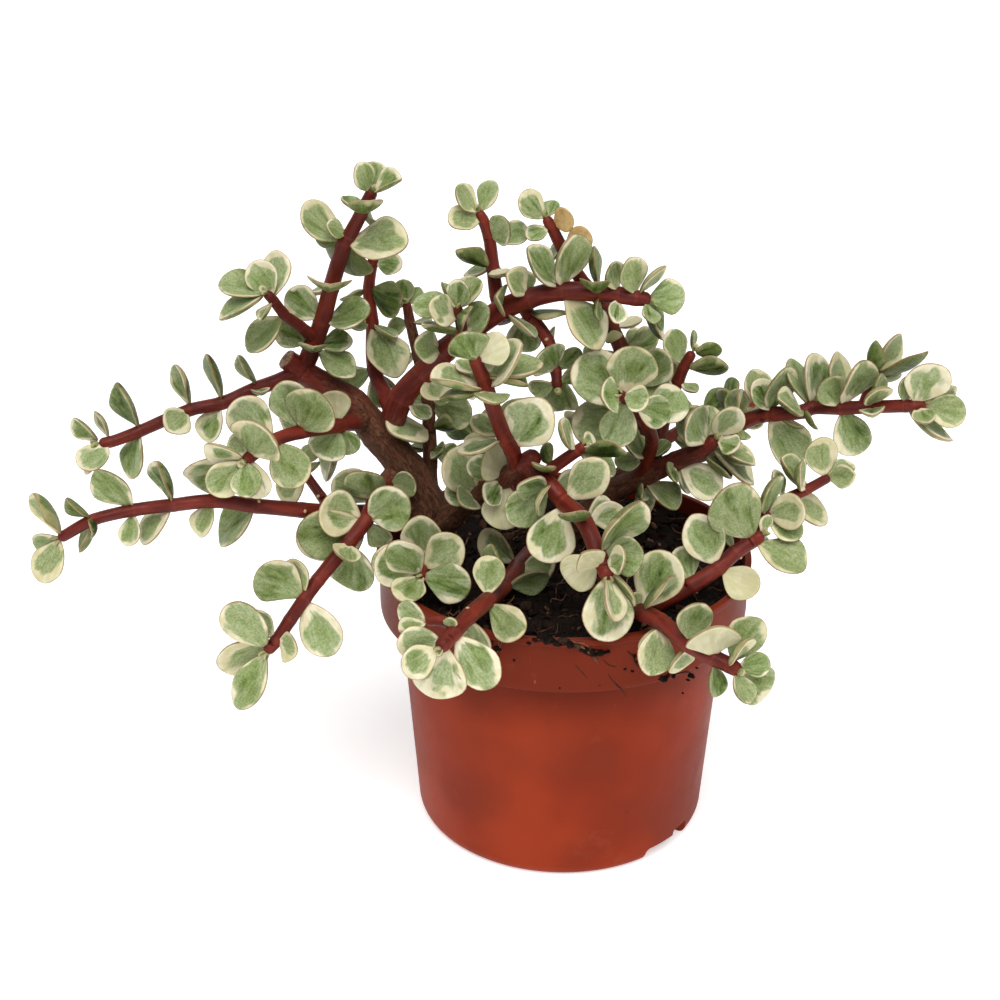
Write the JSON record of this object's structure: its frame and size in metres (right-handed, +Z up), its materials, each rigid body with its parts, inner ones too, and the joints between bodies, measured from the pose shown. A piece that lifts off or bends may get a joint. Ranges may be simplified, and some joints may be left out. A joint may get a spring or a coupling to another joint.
{
  "type": "potted variegated elephant bush",
  "caption": "Bushy succulent with thick red-brown stems and round green leaves edged in cream, standing in soil in a round terracotta-coloured plastic nursery pot.",
  "frame": {"origin": "centre of the pot's flat base, on the surface it stands on", "axes": "+Z up, -Y towards the viewer of the picture, +X along the plant's widest spread"},
  "size_m": [0.2851, 0.18, 0.2153],
  "materials": {
    "pot_plastic": "satin",
    "soil": "matte",
    "foliage": "satin"
  },
  "bodies": {
    "root": {"pot": "pot_plastic", "soil": "soil", "main_plant": "foliage", "right_plant": "foliage", "right_low_stem": "foliage", "right_rim_stem": "foliage", "left_rim_stem": "foliage", "back_low_stem": "foliage", "back_stem": "foliage"}
  },
  "joints": []
}
